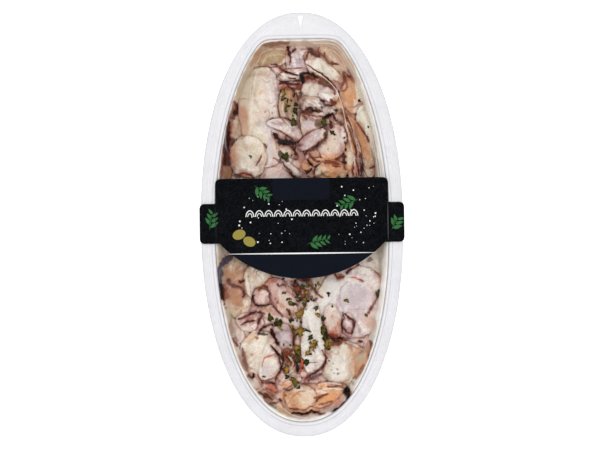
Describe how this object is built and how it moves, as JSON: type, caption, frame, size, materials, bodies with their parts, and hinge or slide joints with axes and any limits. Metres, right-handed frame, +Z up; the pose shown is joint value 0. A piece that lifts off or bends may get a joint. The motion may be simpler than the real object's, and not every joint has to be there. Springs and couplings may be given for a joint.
{
  "type": "sealed tray of sliced cooked octopus",
  "caption": "Oval white plastic tray, sealed with clear film under a dark band label, holding thin overlapping slices of cooked octopus with parsley in a little marinade.",
  "frame": {"origin": "middle of the pack's underside, on the table", "axes": "+Y towards the wide peel end of the tray, +Z up through the clear film, +X to the right of both"},
  "size_m": [0.13, 0.27, 0.0192],
  "materials": {
    "tray_plastic": "satin white thermoformed sheet",
    "clear_film": "clear glossy lidding film",
    "label_paper": "satin printed paper",
    "marinade": "wet, oily",
    "octopus_cream": "wet flesh",
    "octopus_white": "wet flesh",
    "octopus_lilac": "wet flesh",
    "octopus_pink": "wet flesh",
    "octopus_beige": "wet flesh",
    "octopus_orange": "wet flesh",
    "octopus_olive": "wet flesh",
    "octopus_skin": "wet skin"
  },
  "bodies": {
    "root": {"tray": "tray_plastic", "marinade": "marinade", "top_film": "clear_film", "label": "label_paper", "slice_bed_head": "octopus_skin", "slice_bed_left": "octopus_skin", "slice_bed_right": "octopus_skin", "slice_bed_middle_left": "octopus_cream", "slice_bed_middle_right": "octopus_beige", "slice_bed_low_left": "octopus_skin", "slice_bed_low_right": "octopus_cream", "slice_bed_foot": "octopus_skin", "slice_middle_left": "octopus_pink", "slice_middle_right": "octopus_orange", "slice_olive": "octopus_olive", "slice_corner": "octopus_cream", "slice_tan_round": "octopus_orange", "slice_pale_edge": "octopus_cream", "slice_tan_band": "octopus_orange", "slice_side_strip": "octopus_beige", "slice_sucker_strip": "octopus_orange", "slice_skin_left": "octopus_skin", "slice_scalloped": "octopus_beige", "slice_pink_low": "octopus_pink", "slice_big_white": "octopus_white", "slice_disc": "octopus_cream", "slice_neck_fold": "octopus_lilac", "slice_frill": "octopus_white", "slice_long_cream": "octopus_cream", "slice_brown_fold": "octopus_skin", "slice_ringed": "octopus_beige", "slice_lilac_fold": "octopus_lilac", "slice_rough": "octopus_white", "slice_crescent": "octopus_lilac", "slice_pink_round": "octopus_pink", "slice_finger": "octopus_lilac", "slice_cream_shred": "octopus_cream", "slice_cream_strip": "octopus_white", "slice_orange_left": "octopus_orange", "slice_orange_right": "octopus_orange", "slice_left_beige": "octopus_beige", "slice_left_cream": "octopus_cream", "slice_pale_left": "octopus_lilac", "slice_right_cream": "octopus_cream", "slice_right_round": "octopus_lilac", "slice_dark_fold": "octopus_skin", "slice_pink_band": "octopus_pink", "slice_small_disc": "octopus_pink", "slice_purple_fold": "octopus_pink", "slice_mottled": "octopus_lilac", "slice_shreds": "octopus_skin", "slice_big_cream": "octopus_cream", "slice_big_beige": "octopus_beige", "slice_orange_foot": "octopus_orange", "slice_orange_curl": "octopus_orange", "slice_grey_strip": "octopus_beige", "slice_cream_bits": "octopus_pink", "slice_white_tall": "octopus_white", "slice_white_fold": "octopus_white", "slice_loop": "octopus_lilac"}
  },
  "joints": []
}
